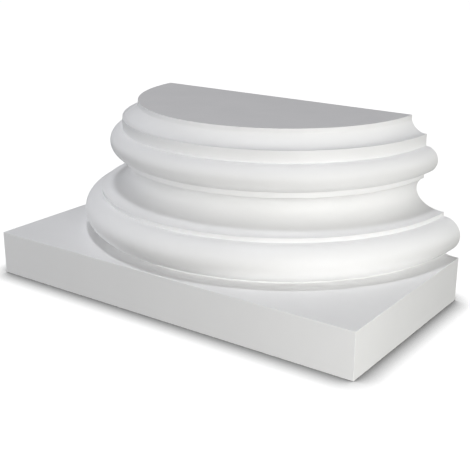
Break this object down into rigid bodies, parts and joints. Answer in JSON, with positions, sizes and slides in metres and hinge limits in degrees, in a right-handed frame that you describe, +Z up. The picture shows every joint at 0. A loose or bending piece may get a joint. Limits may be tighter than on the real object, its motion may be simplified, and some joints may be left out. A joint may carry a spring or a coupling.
{
  "type": "half column base",
  "caption": "Half round column base in the Attic style: a flat plinth under stepped round mouldings, cut flat at the back for a wall, with a level half round seat for a half shaft on top.",
  "frame": {"origin": "middle of the footprint on the underside of the plinth", "axes": "+X along the wall, +Y back to the wall, +Z up the column"},
  "size_m": [0.36, 0.18, 0.1539],
  "materials": {
    "primer": "smooth white primer on rigid foam, satin on the mouldings and plain grey on the joint faces"
  },
  "bodies": {
    "root": {"half_column_base": "primer"}
  },
  "joints": []
}
